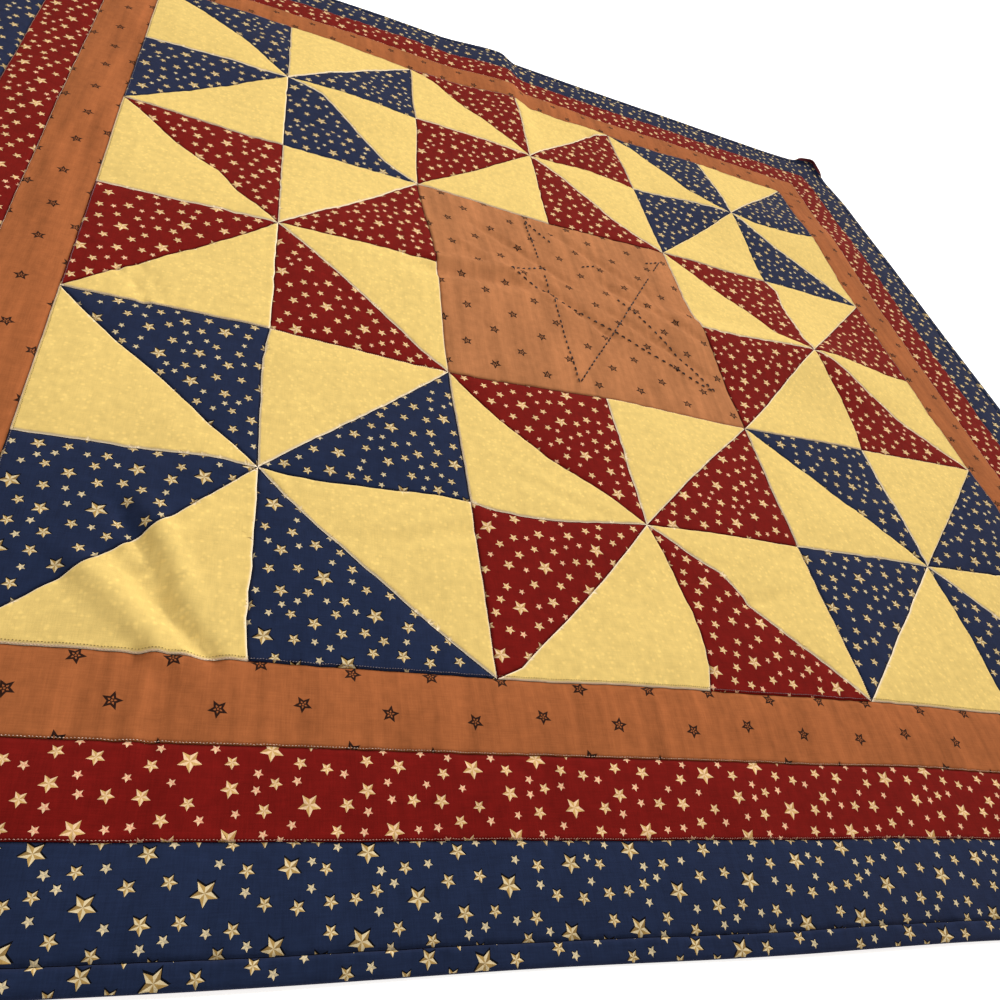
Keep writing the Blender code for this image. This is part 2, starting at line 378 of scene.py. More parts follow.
# Scales of the threads, streaks, blotches, flecks and weave, per metre along X and Y
THREAD_SCALES = ((1100.0, 90.0, 1.0), (90.0, 1100.0, 1.0))
STREAK_SCALES = ((140.0, 7.0, 1.0), (48.0, 9.0, 1.0))
BLOTCH_SCALE = (150.0, 130.0, 1.0)
BLOTCH_DETAIL = 3.0
FLECK_SCALE = (230.0, 230.0, 1.0)
FLECK_SCATTER = 0.9
FLECK_STOPS = ((0.14, WHITE), (0.38, BLACK))
WEAVE_SCALE = 780.0
# Bump of the weave: the threads' share of it, its strength and its depth in metres
THREAD_RELIEF = 1.2
BUMP_STRENGTH = 0.30
BUMP_DEPTH = 0.0003

# The camera, fitted to the photograph's view, and the floor
CAMERA_LENS = 30.514
CAMERA_PLACE = (-0.3424, -0.6985, 0.4281)
CAMERA_ANGLES = (43.78, -20.74, -8.23)
FLOOR_SIZE = 40.0
FLOOR_LEVEL = -0.0002
FLOOR_COLOUR = (0.9, 0.9, 0.9, 1.0)
FLOOR_GLOW = 0.7

# Lights: name, place, aim, size, power, colour
LIGHTS = (
    ("key light", (-0.12, 0.18, 1.70), (-0.10, 0.05, 0.0), 0.7, 16.4, (1.0, 0.98, 0.94)),
    ("raking light", (7.0, 7.5, 5.2), (0.0, 0.0, 0.0), 3.0, 1050.0, (1.0, 0.97, 0.92)),
)
STUDIO_COLOUR = (1.0, 0.94, 0.83, 1.0)
STUDIO_STRENGTH = 0.41

SEED = 9
STAR_SEED = SEED + 40


def border_lines(scale):
    """Distances of the seams from the middle, in blocks, from the field's edge outwards."""
    lines = [FIELD_EDGE]
    for width in BORDERS:
        lines.append(lines[-1] + width * scale / BLOCK)
    return lines


NEAR_LINES = border_lines(1.0)
FAR_LINES = border_lines(FAR_SCALE)
FIELD_OFFSET = (NEAR_LINES[-1] - FAR_LINES[-1]) * BLOCK / 2


# The quilt's form, over arrays of charted points

def fade(t):
    """1 at t = 0, falling smoothly to exactly 0 at t = 1 and beyond."""
    t = np.minimum(np.abs(t), 1.0)
    return 1.0 - t * t * (3.0 - 2.0 * t)


def along_and_across(at, x0, y0, x1, y1):
    """Each point's distance along a line, across it to the left, and beyond its ends."""
    length = math.hypot(x1 - x0, y1 - y0)
    way = np.array([x1 - x0, y1 - y0]) / length
    off = at - (x0, y0)
    along = off @ way
    across = off[:, 1] * way[0] - off[:, 0] * way[1]
    beyond = np.maximum(np.maximum(-along, along - length), 0.0)
    return along, across, beyond


def lift(at):
    """Height of the cloth's underside over the surface; exactly 0 where it lies flat."""
    height = np.zeros(len(at))
    for x, y, half_x, half_y, rise in SWELLS:
        height += rise * fade(np.hypot((at[:, 0] - x) / half_x, (at[:, 1] - y) / half_y))
    for x0, y0, x1, y1, left, right, rise in RIDGES:
        _, across, beyond = along_and_across(at, x0, y0, x1, y1)
        width = np.where(across > 0, left, right)
        height += rise * fade(across / width) * fade(beyond / left)
    return height


def edge_distance(at):
    """Distance in blocks to the nearest outer edge."""
    near, far = NEAR_LINES[-1], FAR_LINES[-1]
    return np.minimum(near + at.min(1), far - at.max(1))


def thickness(at):
    """Thickness of the pieced top and its filling at a seam: less towards the outer edges."""
    outside = np.maximum(np.abs(at).max(1) - FIELD_EDGE, 0.0)
    share = np.minimum(outside / (FAR_LINES[-1] - FIELD_EDGE), 1.0)
    thick = FIELD_THICKNESS + (EDGE_THICKNESS - FIELD_THICKNESS) * share
    rounding = np.clip(1.0 - edge_distance(at) * BLOCK / EDGE_ROUND, 0.0, 1.0)
    return thick * np.sqrt(1.0 - EDGE_FLATTENING * rounding * rounding)


def ripples(at, seed, count, shortest, longest, height):
    """Soft unevenness: plane waves of seeded ways, lengths and phases, in metres."""
    rng = np.random.default_rng(seed)
    total = np.zeros(len(at))
    for _ in range(count):
        turn, phase = rng.uniform(0, 2 * math.pi, 2)
        length = rng.uniform(shortest, longest)
        way = np.array([math.cos(turn), math.sin(turn)]) * 2 * math.pi * BLOCK / length
        total += np.sin(at @ way + phase)
    return total * height / math.sqrt(count)


def creases(at):
    """Height of the creases, above or below the cloth about them."""
    height = np.zeros(len(at))
    for x0, y0, x1, y1, half_width, rise in np.array(CREASES) / CREASE_UNITS:
        _, across, beyond = along_and_across(at, x0, y0, x1, y1)
        reach = np.hypot(across * BLOCK / half_width, beyond * BLOCK / (CREASE_ENDS * half_width))
        height += rise * fade(reach)
    return height


def seam_relief(distance, raised):
    """Height beside a seam, from the distance to it in metres and whether this side stands up."""
    pillow = PILLOW * (1.0 - np.exp(-distance / PILLOW_REACH))
    up = SEAM_RAISE * fade(distance / SEAM_ALLOWANCE)
    up -= (SEAM_RAISE + SEAM_DEPTH) * fade(distance / SEAM_ROLL)
    down = -SEAM_DEPTH * fade(distance / SEAM_DIP)
    return pillow + np.where(raised, up, down)


def top_height(at, distance, raised):
    """Height of the pieced top over the surface."""
    flat = BACKING_THICKNESS + GAP + thickness(at)
    # The folds die away at the outer edge, so that the binding stays on the backing
    inner = 1.0 - fade(edge_distance(at) / CALM_RIM)
    uneven = creases(at) + ripples(at, SEED, *RIPPLES)
    uneven += ripples(at, SEED + 1, *PUCKERS) * fade(distance / PUCKER_REACH)
    relief = (seam_relief(distance, raised) + uneven) * inner
    return lift(at) + flat + np.maximum(relief, LEAST_THICKNESS - thickness(at))


def edge_wave(outward, along):
    """How far an outer edge wavers inward; it reaches its full width at the middle."""
    share = np.maximum(outward - FIELD_EDGE, 0.0) / (NEAR_LINES[-1] - FIELD_EDGE)
    return EDGE_WAVE * share * (1 - np.cos(2 * math.pi * along)) / 2


def pulled(at):
    """The places in metres of charted points, out of square as the quilt is sewn."""
    place = at * BLOCK + FIELD_OFFSET
    for x, y, reach, pull_x, pull_y in PULLS:
        share = fade(np.hypot(at[:, 0] - x, at[:, 1] - y) / reach)
        place = place + share[:, None] * (pull_x, pull_y)
    waves = edge_wave(np.abs(at), at[:, ::-1])
    return place - np.sign(at) * waves


def curl_depth(at):
    """How far points lie inside the flap that rolls over at the far right corner, in metres."""
    off = (FAR_LINES[-1] - at) * BLOCK / math.sqrt(2)
    inward = off[:, 0] + off[:, 1]
    across = off[:, 0] - off[:, 1]
    width = CURL_LENGTH * np.maximum(1.0 - (across / CURL_REACH) ** 4, 0.0)
    return np.hypot(across, CURL_SOFTNESS) - CURL_SOFTNESS + width - inward


def curled(at, height):
    """Points in space; near the far right corner they roll up and over, along its diagonal."""
    place = pulled(at)
    base = lift(at)
    beyond = np.maximum(curl_depth(at), 0.0)
    angle = beyond / CURL_RADIUS
    radius = CURL_RADIUS + base - height
    shift = (radius * np.sin(angle) - beyond) / math.sqrt(2)
    level = base + CURL_RADIUS - radius * np.cos(angle)
    rolled = np.column_stack([place + shift[:, None], level])
    plain = np.column_stack([place, height])
    return np.where((beyond > 0)[:, None], rolled, plain)


# Lines, rows and fillings of points on the chart

def stepped(line, step):
    """The points of a line with more between them, at most a step in blocks apart."""
    points = []
    for start, end in zip(line, line[1:]):
        count = max(1, math.ceil(np.linalg.norm(end - start) / step))
        points += [start + (end - start) * n / count for n in range(count)]
    return np.array([*points, line[-1]])


def distances(at, lines):
    """Each point's distance to the nearest of several lines, in blocks, and that line's number."""
    best = np.full(len(at), np.inf)
    nearest = np.zeros(len(at), int)
    for number, line in enumerate(lines):
        for start, end in zip(line, line[1:]):
            way = end - start
            share = np.clip((at - start) @ way / (way @ way), 0.0, 1.0)
            gap = np.linalg.norm(at - start - share[:, None] * way, axis=1)
            closer = gap < best
            best[closer] = gap[closer]
            nearest[closer] = number
    return best, nearest


def beside(line, offset):
    """A row of points beside a line, on its left for an offset above 0, in blocks."""
    points = stepped(line, ROW_STEP / BLOCK)
    way = np.gradient(points, axis=0)
    way /= np.linalg.norm(way, axis=1)[:, None]
    return points + offset * np.column_stack([-way[:, 1], way[:, 0]])


def inside(at, polygon):
    """Whether each point lies in a polygon."""
    odd = np.zeros(len(at), bool)
    for (x0, y0), (x1, y1) in zip(polygon, np.roll(polygon, -1, axis=0)):
        if y0 == y1:
            continue
        spans = (at[:, 1] < y0) != (at[:, 1] < y1)
        odd ^= spans & (at[:, 0] < x0 + (at[:, 1] - y0) * (x1 - x0) / (y1 - y0))
    return odd


def lattice(low, high, step, seed):
    """A grid of points with seeded unevenness over a rectangle of the chart."""
    counts = [max(1, round((b - a) / step)) for a, b in zip(low, high)]
    axes = [a + (np.arange(n) + 0.5) * (b - a) / n for a, b, n in zip(low, high, counts)]
    grid = np.stack(np.meshgrid(*axes), -1).reshape(-1, 2)
    rng = np.random.default_rng(seed)
    return grid + rng.uniform(-LATTICE_JITTER, LATTICE_JITTER, grid.shape) * step


# Prints

def scattered_stars(seed):
    """The printed repeat: places, radii and turns of stars, each as clear of the rest as found."""
    rng = np.random.default_rng(seed)
    stars = []
    for count, least, most in STAR_KINDS:
        for _ in range(count):
            radius = rng.uniform(least, most)
            tries = rng.uniform(0, REPEAT, (STAR_TRIES, 2))
            if stars:
                others = np.array(stars)
                off = np.abs(tries[:, None] - others[None, :, :2])
                off = np.linalg.norm(np.minimum(off, REPEAT - off), axis=2) - others[:, 2]
                tries = tries[[off.min(1).argmax()]]
            turn = -90 + rng.uniform(-STAR_TURN, STAR_TURN)
            stars.append((*tries[0], radius, turn))
    return stars


def scattered_outlines(seed):
    """The tan cloth's repeat: staggered rows of outlined stars, turned every way."""
    rng = np.random.default_rng(seed)
    pitch_x, pitch_y = OUTLINE_PITCH
    stars = []
    for row in range(round(REPEAT / pitch_y)):
        for column in range(round(REPEAT / pitch_x)):
            x = (column + row % 2 / 2) * pitch_x + rng.uniform(-OUTLINE_JITTER, OUTLINE_JITTER)
            y = row * pitch_y + rng.uniform(-OUTLINE_JITTER, OUTLINE_JITTER)
            stars.append((x, y, OUTLINE_RADIUS, rng.uniform(0, 360)))
    return stars


def star_outline(radius, inner, turn):
    """The ten corners of a star, its first point at the turn, in the radius's own unit."""
    angles = np.radians(turn) + np.arange(10) * math.pi / 5
    radii = radius * np.where(np.arange(10) % 2 == 0, 1.0, inner)
    return np.column_stack([np.cos(angles), np.sin(angles)]) * radii[:, None]


def printed_over(polygon, stars, offset, pitch):
    """The repeat's stars that touch a patch, with centres on the chart and radii in blocks."""
    low = polygon.min(0) * BLOCK - offset
    high = polygon.max(0) * BLOCK - offset
    found = []
    for x, y, radius, turn in stars:
        first = np.floor((low - (x, y) - radius) / pitch).astype(int)
        last = np.ceil((high - (x, y) + radius) / pitch).astype(int)
        for i in range(first[0], last[0] + 1):
            for j in range(first[1], last[1] + 1):
                centre = (np.array([x, y]) + np.array([i, j]) * pitch + offset) / BLOCK
                points = centre + star_outline(radius / BLOCK, STAR_INNER, turn)
                if inside(np.vstack([points, centre]), polygon).any():
                    found.append((centre, radius / BLOCK, turn))
    return found


class Drawing:
    """Points, lines and marked faces on the chart that one triangulation joins."""

    def __init__(self):
        self.points = []
        self.edges = []
        self.faces = []
        self.marks = []
        self.count = 0

    def add(self, points):
        first = self.count
        self.points.append(np.asarray(points, float).reshape(-1, 2))
        self.count += len(self.points[-1])
        return first

    def add_line(self, points):
        first = self.add(points)
        self.edges += [(first + n, first + n + 1) for n in range(len(points) - 1)]

    def add_face(self, points, mark):
        first = self.add(points)
        self.faces.append(list(range(first, first + len(points))))
        self.marks.append(mark)

    def add_star(self, centre, radius, turn, patch, shaded):
        """A star in ten facets, with a darker star behind it where it is shaded."""
        if shaded:
            behind = star_outline(radius * SHADOW_SCALE, STAR_INNER, turn)
            behind += centre + np.multiply(SHADOW_SHIFT, radius)
            self.add_face(behind, ("star", patch, SHADOW))
        points = centre + star_outline(radius, STAR_INNER, turn)
        first = self.add(np.vstack([points, centre]))
        small = radius * BLOCK < SMALL_STAR
        for n, tone in enumerate(SMALL_FACETS if small else STAR_FACETS):
            self.faces.append([first + n, first + (n + 1) % 10, first + 10])
            self.marks.append(("star", patch, tone))

    def add_outline(self, centre, radius, turn, patch):
        """A star drawn in ink with a smaller one inside, as nested rings."""
        for number, scale in enumerate(OUTLINE_RINGS):
            ring = star_outline(radius * scale, OUTLINE_INNER, turn + 36 * (number // 2))
            self.add_face(centre + ring, ("star", patch, INK if number % 2 == 0 else GROUND))

    def triangulated(self):
        """Corner points, triangles, and each triangle's marks."""
        points = [Vector(point) for point in np.vstack(self.points)]
        result = delaunay_2d_cdt(points, self.edges, self.faces, INSIDE_ONLY, JOIN_DISTANCE, True)
        corners = np.array([tuple(point) for point in result[0]])
        triangles = np.array([face for face in result[2]])
        marks = [[self.marks[n] for n in sorted(owners)] for owners in result[5]]
        self.output = {given: number for number, many in enumerate(result[3]) for given in many}
        return corners, triangles, marks


# Pieces of the top: seams are (line, rank across it), and rims are lines that aren't sewn

Patch = namedtuple("Patch", "polygon cloth rank stars shaded")
Piece = namedtuple("Piece", "node low high patches seams rims seed")
Faces = namedtuple("Faces", "triangles owner tone seam cloth_at")


def rectangle(low, high):
    return np.array([low, (high[0], low[1]), high, (low[0], high[1])], float)


def closed(polygon):
    return np.vstack([polygon, polygon[:1]])


def spoke_line(centre, name, place, rng):
    """One seam of a pinwheel, bowed as it is sewn."""
    end = np.array(SPOKE_ENDS[SPOKES.index(name)]) / 2
    share = np.linspace(0, 1, SPOKE_STEPS + 1)
    bows = np.array((0, *BOWS.get(place, {}).get(name, (0,) * 7), 0)) / 1000
    bow = np.interp(share, np.linspace(0, 1, 9), bows)
    bow += rng.normal(0, SEAM_WOBBLE / BLOCK, len(share)) * np.sin(math.pi * share)
    aside = (1.0, 0.0) if end[0] == 0 else (0.0, 1.0)
    return centre + share[:, None] * end + bow[:, None] * aside


def add_rows(drawing, lines, low, high, rows):
    """Rows of points beside lines, where they lie in the piece and no nearer another line."""
    for line in lines:
        for offset in rows:
            for side in (-1, 1):
                row = beside(line, side * offset / BLOCK)
                free = distances(row, lines)[0] > ROW_CLEARANCE * offset / BLOCK
                within = ((row > low) & (row < high)).all(1)
                drawing.add(row[free & within])


def add_filling(drawing, lines, low, high, step, clear, seed):
    """Points over a piece, clear of its lines, and finer where the corner curls over."""
    grid = lattice(low, high, step / BLOCK, seed)
    drawing.add(grid[distances(grid, lines)[0] > clear / BLOCK])
    corner = np.array([FAR_LINES[-1]] * 2)
    if np.linalg.norm(np.maximum(corner - high, 0)) * BLOCK < CURL_REACH:
        start = np.maximum(low, corner - CURL_SPAN / BLOCK)
        fine = lattice(start, high, CURL_STEP / BLOCK, seed)
        rolls = curl_depth(fine) > -CURL_MARGIN
        drawing.add(fine[rolls & (distances(fine, lines)[0] > CURL_CLEAR / BLOCK)])


def patch_marks(marks):
    """The patch and the tone of each triangle; patch -1 where it lies in none."""
    owner = np.full(len(marks), -1)
    tone = np.zeros(len(marks))
    for number, found in enumerate(marks):
        for mark in found:
            if mark[0] == "patch":
                owner[number] = mark[1]
        stars = [mark for mark in found if mark[0] == "star" and mark[1] == owner[number]]
        if stars:
            tone[number] = stars[-1][2]
    return owner, tone


def printed(piece, lines):
    """The piece's patches, stars and filling as a drawing, and where each patch's print starts."""
    rng = np.random.default_rng(piece.seed)
    drawing = Drawing()
    offsets = []
    for number, patch in enumerate(piece.patches):
        drawing.add_face(stepped(closed(patch.polygon), ROW_STEP / BLOCK)[:-1], ("patch", number))
        offsets.append(rng.uniform(0, REPEAT, 2))
        outlined = patch.cloth in OUTLINED
        pitch = OUTLINE_REPEAT if outlined else (REPEAT, REPEAT)
        for star in printed_over(patch.polygon, patch.stars, offsets[-1], pitch):
            if outlined:
                drawing.add_outline(*star, number)
            else:
                drawing.add_star(*star, number, patch.shaded)
    add_rows(drawing, lines, piece.low, piece.high, ROWS)
    add_filling(drawing, lines, piece.low, piece.high, FILL_STEP, FILL_CLEAR, piece.seed)
    return drawing, np.array(offsets)


def seam_sides(piece, distance, nearest, triangles, owner):
    """Whether each triangle's corners stand up by their seam, and the painted shade there, a
    highlight below 0.
    """
    ranks = np.array([patch.rank for patch in piece.patches])
    across = np.array([rank for _, rank in piece.seams])[nearest[triangles]]
    raised = ranks[owner][:, None] > across
    edge = distance[triangles]
    shade = fade(edge / SEAM_SHADE) * SEAM_SHARES[across]
    # Painted highlight on the raised side, painted shade on the lower side
    return raised, np.where(raised, -fade(edge / PAINTED_HIGHLIGHT_REACH), shade)


def make_top(piece, cloths):
    """One piece of the top: patches cut, printed and sewn, closed below by a plain underside."""
    seam_lines = [line for line, _ in piece.seams]
    drawing, offsets = printed(piece, seam_lines + piece.rims)
    corners, triangles, marks = drawing.triangulated()
    owner, tone = patch_marks(marks)
    kept = owner >= 0
    owner, tone = owner[kept], tone[kept]
    # Stars that a seam cuts leave points outside the piece, which are dropped
    used, triangles = np.unique(triangles[kept], return_inverse=True)
    corners, triangles = corners[used], triangles.reshape(-1, 3)
    distance, nearest = distances(corners, seam_lines)
    distance = distance * BLOCK
    raised, seam = seam_sides(piece, distance, nearest, triangles, owner)
    stands = np.zeros(len(corners), bool)
    stands[triangles[raised]] = True
    height = top_height(corners, distance, stands)
    cloth_at = corners[triangles] * BLOCK + offsets[owner][:, None, :]
    top = Faces(triangles, owner, tone, seam, cloth_at)
    return close_and_make(piece, corners, height, top, cloths)


def rim_of(triangles):
    """The directed edges that only one triangle has."""
    edges = np.concatenate([triangles[:, [0, 1]], triangles[:, [1, 2]], triangles[:, [2, 0]]])
    keys = np.sort(edges, axis=1)
    _, first, counts = np.unique(keys, axis=0, return_index=True, return_counts=True)
    return edges[first[counts == 1]]


def bake_uv(at, low, high):
    """A map that lays the piece's chart in rows over a square, so that its print stays sharp."""
    size = high - low
    long_side = int(size[1] > size[0])
    rows = max(1, round(math.sqrt(size[long_side] / size[1 - long_side])))
    length = size[long_side] / rows
    along = at[..., long_side] - low[long_side]
    across = at[..., 1 - long_side] - low[1 - long_side]
    middle = along.mean(axis=-1, keepdims=True)
    row = np.clip(np.floor(middle / length), 0, rows - 1)
    u = (along - row * length + MAP_MARGIN) / (length + 2 * MAP_MARGIN)
    v = (row + (across + MAP_MARGIN) / (size[1 - long_side] + 2 * MAP_MARGIN)) / rows
    return np.stack([u, v], -1)


def underside(piece, corners, rim):
    """The underside's points and triangles, and the points of it that the rim's edges meet."""
    ring = np.unique(rim)
    renumber = np.full(len(corners), -1)
    renumber[ring] = np.arange(len(ring))
    below = Drawing()
    below.add(corners[ring])
    below.edges = [tuple(edge) for edge in renumber[rim].tolist()]
    inner = lattice(piece.low, piece.high, UNDER_STEP / BLOCK, piece.seed)
    outline = closed(rectangle(piece.low, piece.high))
    below.add(inner[distances(inner, [outline])[0] > UNDER_CLEAR])
    for line in piece.rims:
        below.add_line(beside(line, BINDING_WRAP / BLOCK)[1:-1])
    under, triangles, _ = below.triangulated()
    return under, triangles, np.vectorize(below.output.get)(renumber[rim])


def walls_between(rim, other):
    """Walls from a rim's edges to the same edges of another rim."""
    return np.concatenate([
        np.column_stack([rim[:, 1], rim[:, 0], other[:, 0]]),
        np.column_stack([rim[:, 1], other[:, 0], other[:, 1]]),
    ])


def cloths_used(piece, owner, depth):
    """The names of the piece's cloths, and each face's among them by number."""
    names = [patch.cloth for patch in piece.patches]
    used = sorted(set(names))
    index = np.array([used.index(name) for name in names])[owner]
    # The backing is turned round the edge where the corner rolls over
    if piece.rims and (depth > 0).any():
        index[depth > 0] = len(used)
        used.append("wine")
    return used, index


def close_and_make(piece, corners, height, top, cloths):
    """Adds the underside and the walls, and makes the object with its maps and attributes."""
    rim = rim_of(top.triangles)
    under, under_triangles, low_rim = underside(piece, corners, rim)
    first = len(corners)
    on_backing = lift(under) + BACKING_THICKNESS + GAP
    floor = np.where(edge_distance(under) < RIM_WIDTH, lift(under) + GAP, on_backing)
    places = np.vstack([corners, under])
    walls = walls_between(rim, low_rim + first)
    faces = np.concatenate([top.triangles, walls, under_triangles[:, ::-1] + first])
    points = curled(places, np.concatenate([height, floor]))
    thing = mesh_object(f"{piece.node}_cloth", points, faces)
    tops = len(top.triangles)
    extra = len(faces) - tops
    owner = np.concatenate([top.owner, np.zeros(extra, int)])
    depth = curl_depth(places[faces].mean(axis=1))
    depth[:tops] -= CURL_LENGTH / 2
    used, index = cloths_used(piece, owner, depth)
    for name in used:
        thing.data.materials.append(cloths[name])
    thing.data.polygons.foreach_set("material_index", index.astype(np.int32))
    cloth_at = np.concatenate([top.cloth_at, places[faces[tops:]] * BLOCK])
    tone = np.concatenate([top.tone, np.zeros(extra)])
    # Walls and underside are fully in painted shade, dark in the gaps between pieces, save on pieces
    # with an outer rim
    seam = np.concatenate([top.seam, np.full((extra, 3), 0.0 if piece.rims else 1.0)])
    set_cloth(thing.data, cloth_at, tone, seam, bake_uv(places[faces], piece.low, piece.high))
    return thing


def mesh_object(name, points, faces):
    """A smooth mesh object from arrays of points and triangles."""
    mesh = bpy.data.meshes.new(name)
    mesh.from_pydata(points.tolist(), [], faces.tolist())
    mesh.shade_smooth()
    mesh.set_sharp_from_angle(angle=math.radians(SHARP_ANGLE))
    thing = bpy.data.objects.new(name, mesh)
    bpy.context.scene.collection.objects.link(thing)
    return thing


def set_corners(mesh, name, kind, values):
    attribute = mesh.attributes.new(name, kind, "CORNER")
    attribute.data.foreach_set("vector" if kind == "FLOAT_VECTOR" else "value", values)


def set_cloth(mesh, cloth_at, tone, seam, uv):
    """What the materials read: the place on the cloth, the print's tone, the seam, and the map."""
    place = np.zeros((len(tone) * 3, 3))
    place[:, :2] = cloth_at.reshape(-1, 2)
    set_corners(mesh, "cloth", "FLOAT_VECTOR", place.ravel())
    set_corners(mesh, "tone", "FLOAT", np.repeat(tone, 3) / (TONES - 1))
    set_corners(mesh, "seam", "FLOAT", seam.ravel())
    layer = mesh.uv_layers.new(name="OFBake")
    layer.uv.foreach_set("vector", uv.ravel())


def declare(piece, node):
    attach(piece, "root")
    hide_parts(node)


def pinwheel(centre, place, cloth, prints, seed):
    """The eight triangles of a pinwheel and the seams between them."""
    rng = np.random.default_rng(seed)
    low, high = centre - 0.5 + INSET, centre + 0.5 - INSET
    spokes = []
    for name in SPOKES:
        line = spoke_line(centre, name, place, rng)
        line[-1] = np.clip(line[-1], low, high)
        spokes.append(line)
    patches = []
    for n in range(8):
        polygon = np.vstack([spokes[n], spokes[(n + 1) % 8][:0:-1]])
        if n % 2 == 0:
            patches.append(Patch(polygon, cloth, RANKS[cloth], prints[cloth], cloth == "navy"))
        else:
            patches.append(Patch(polygon, "cream", RANKS["cream"], (), False))
    return patches, [(line, RANKS["navy"]) for line in spokes]


def make_block(row, column, prints, cloths, seed):
    """A pinwheel block of eight triangles, or the plain middle one."""
    place = f"{('near', 'middle', 'far')[row]}_{('left', 'middle', 'right')[column]}"
    centre = np.array([column - 1.0, row - 1.0])
    low, high = centre - 0.5 + INSET, centre + 0.5 - INSET
    outline = closed(rectangle(low, high))
    seams = []
    for side, step in enumerate(((0, -1), (1, 0), (0, 1), (-1, 0))):
        at_border = abs(row - 1 + step[1]) > 1 or abs(column - 1 + step[0]) > 1
        seams.append((outline[side:side + 2], RANKS["tan_border" if at_border else "navy"]))
    steps_out = abs(row - 1) + abs(column - 1)
    if steps_out == 0:
        patches = [Patch(outline[:-1], "faded_tan", RANKS["tan"], prints["tan"], False)]
    else:
        patches, spokes = pinwheel(centre, place, ("", "red", "navy")[steps_out], prints, seed)
        seams += spokes
    node = f"block_{place}"
    thing = make_top(Piece(node, low, high, patches, seams, [], seed), cloths)
    declare(thing, node)


def strip_seams(outline, side, ring):
    """A strip's seams with the ranks across them, and its rims."""
    outward = ("near", "right", "far", "left").index(side)
    inner, outer = RING_RANKS[ring], RING_RANKS[ring + 2]
    end = JOINT_RANK if side in ("left", "right") else outer
    seams, rims = [], []
    for number in range(4):
        line = outline[number:number + 2]
        rank = (outer, end, inner, end)[(number - outward) % 4]
        if rank is None:
            rims.append(line)
        else:
            seams.append((line, rank))
    return seams, rims


def make_strip(name, side, ring, prints, cloths, seed):
    """One strip of a border or of the binding."""
    near_in, near_out = -NEAR_LINES[ring], -NEAR_LINES[ring + 1]
    far_in, far_out = FAR_LINES[ring], FAR_LINES[ring + 1]
    start, end = {
        "left": ((near_out, near_in), (near_in, far_in)),
        "right": ((far_in, near_in), (far_out, far_in)),
        "near": ((near_out, near_out), (far_out, near_in)),
        "far": ((near_out, far_in), (far_out, far_out)),
    }[side]
    low, high = np.array(start) + INSET, np.array(end) - INSET
    outline = closed(rectangle(low, high))
    cloth = "navy" if name == "binding" else name.split("_")[0]
    patches = [Patch(outline[:-1], cloth, RANKS[name], prints[cloth], cloth == "navy")]
    node = f"{name}_{side}"
    piece = Piece(node, low, high, patches, *strip_seams(outline, side, ring), seed)
    thing = make_top(piece, cloths)
    declare(thing, node)


def make_backing(cloths):
    """The backing sheet: both faces, with the walls between them."""
    inset = BACKING_INSET / BLOCK
    low = np.array([-NEAR_LINES[-1] + inset] * 2)
    high = np.array([FAR_LINES[-1] - inset] * 2)
    outline = closed(rectangle(low, high))
    drawing = Drawing()
    drawing.add_face(stepped(outline, ROW_STEP / BLOCK)[:-1], ("patch", 0))
    add_rows(drawing, [outline], low, high, ROWS[-1:])
    add_filling(drawing, [outline], low, high, BACKING_STEP, BACKING_CLEAR, SEED)
    at, triangles, _ = drawing.triangulated()
    rim = rim_of(triangles)
    walls = walls_between(rim, rim + len(at))
    faces = np.concatenate([triangles, walls, triangles[:, ::-1] + len(at)])
    height = lift(at)
    places = np.vstack([at, at])
    points = curled(places, np.concatenate([height + BACKING_THICKNESS, height]))
    thing = mesh_object("backing_cloth", points, faces)
    thing.data.materials.append(cloths["wine"])
    at_corners = places[faces]
    uv = (at_corners - low + BACKING_MARGIN) / (high - low + 2 * BACKING_MARGIN)
    # The two faces share the map's width, so that each keeps its own half
    under = np.arange(len(faces)) >= len(triangles) + len(walls)
    uv[..., 0] = (uv[..., 0] + under[:, None]) / 2
    plain = np.zeros(len(faces))
    set_cloth(thing.data, at_corners * BLOCK, plain, np.zeros((len(faces), 3)), uv)
    declare(thing, "backing")


# Sewing

def stitch_line(line, offset, kind, seed):
    """Starts and ends of a row of stitches beside a line, with seeded unevenness."""
    rng = np.random.default_rng(seed)
    whole = np.linalg.norm(line[1] - line[0])
    way = (line[1] - line[0]) / whole
    across = np.array([-way[1], way[0]])
    count = int(whole * BLOCK / kind.pitch)
    drift = rng.uniform(-STITCH_DRIFT, STITCH_DRIFT, count)
    first = (np.arange(count) + 0.5 + drift) * kind.pitch / BLOCK
    sizes = kind.length * rng.uniform(*STITCH_LENGTHS, count) / BLOCK
    off = (offset + rng.normal(0, STITCH_WANDER, (2, count))) / BLOCK
    starts = line[0] + first[:, None] * way + off[0][:, None] * across
    ends = line[0] + (first + sizes)[:, None] * way + off[1][:, None] * across
    return starts, ends


def stitch_points(starts, ends, heights, kind):
    """The corners of stitches in space, ring by ring."""
    way = ends - starts
    across = np.column_stack([-way[:, 1], way[:, 0]])
    across /= np.linalg.norm(across, axis=1)[:, None]
    corners, levels = [], []
    for share, rise, width in kind.rings:
        middle = starts + share * way
        height = heights[0] + share * (heights[1] - heights[0]) + rise * kind.radius
        for turn in np.arange(kind.sides) * 2 * math.pi / kind.sides:
            corners.append(middle + math.cos(turn) * width * kind.radius / BLOCK * across)
            levels.append(height + math.sin(turn) * width * kind.radius)
    places = np.stack(corners, 1).reshape(-1, 2)
    return curled(places, np.stack(levels, 1).reshape(-1))


def stitch_faces(count, kind):
    """The triangles of so many stitches: two ends, and walls from ring to ring."""
    sides = kind.sides
    last = (len(kind.rings) - 1) * sides
    pattern = [(0, n + 2, n + 1) for n in range(sides - 2)]
    pattern += [(last, last + n + 1, last + n + 2) for n in range(sides - 2)]
    for ring in range(0, last, sides):
        for side in range(sides):
            a, b = ring + side, ring + (side + 1) % sides
            pattern += [(a, b, b + sides), (a, b + sides, a + sides)]
    firsts = np.arange(count)[:, None, None] * (last + sides)
    return (np.array(pattern)[None] + firsts).reshape(-1, 3)


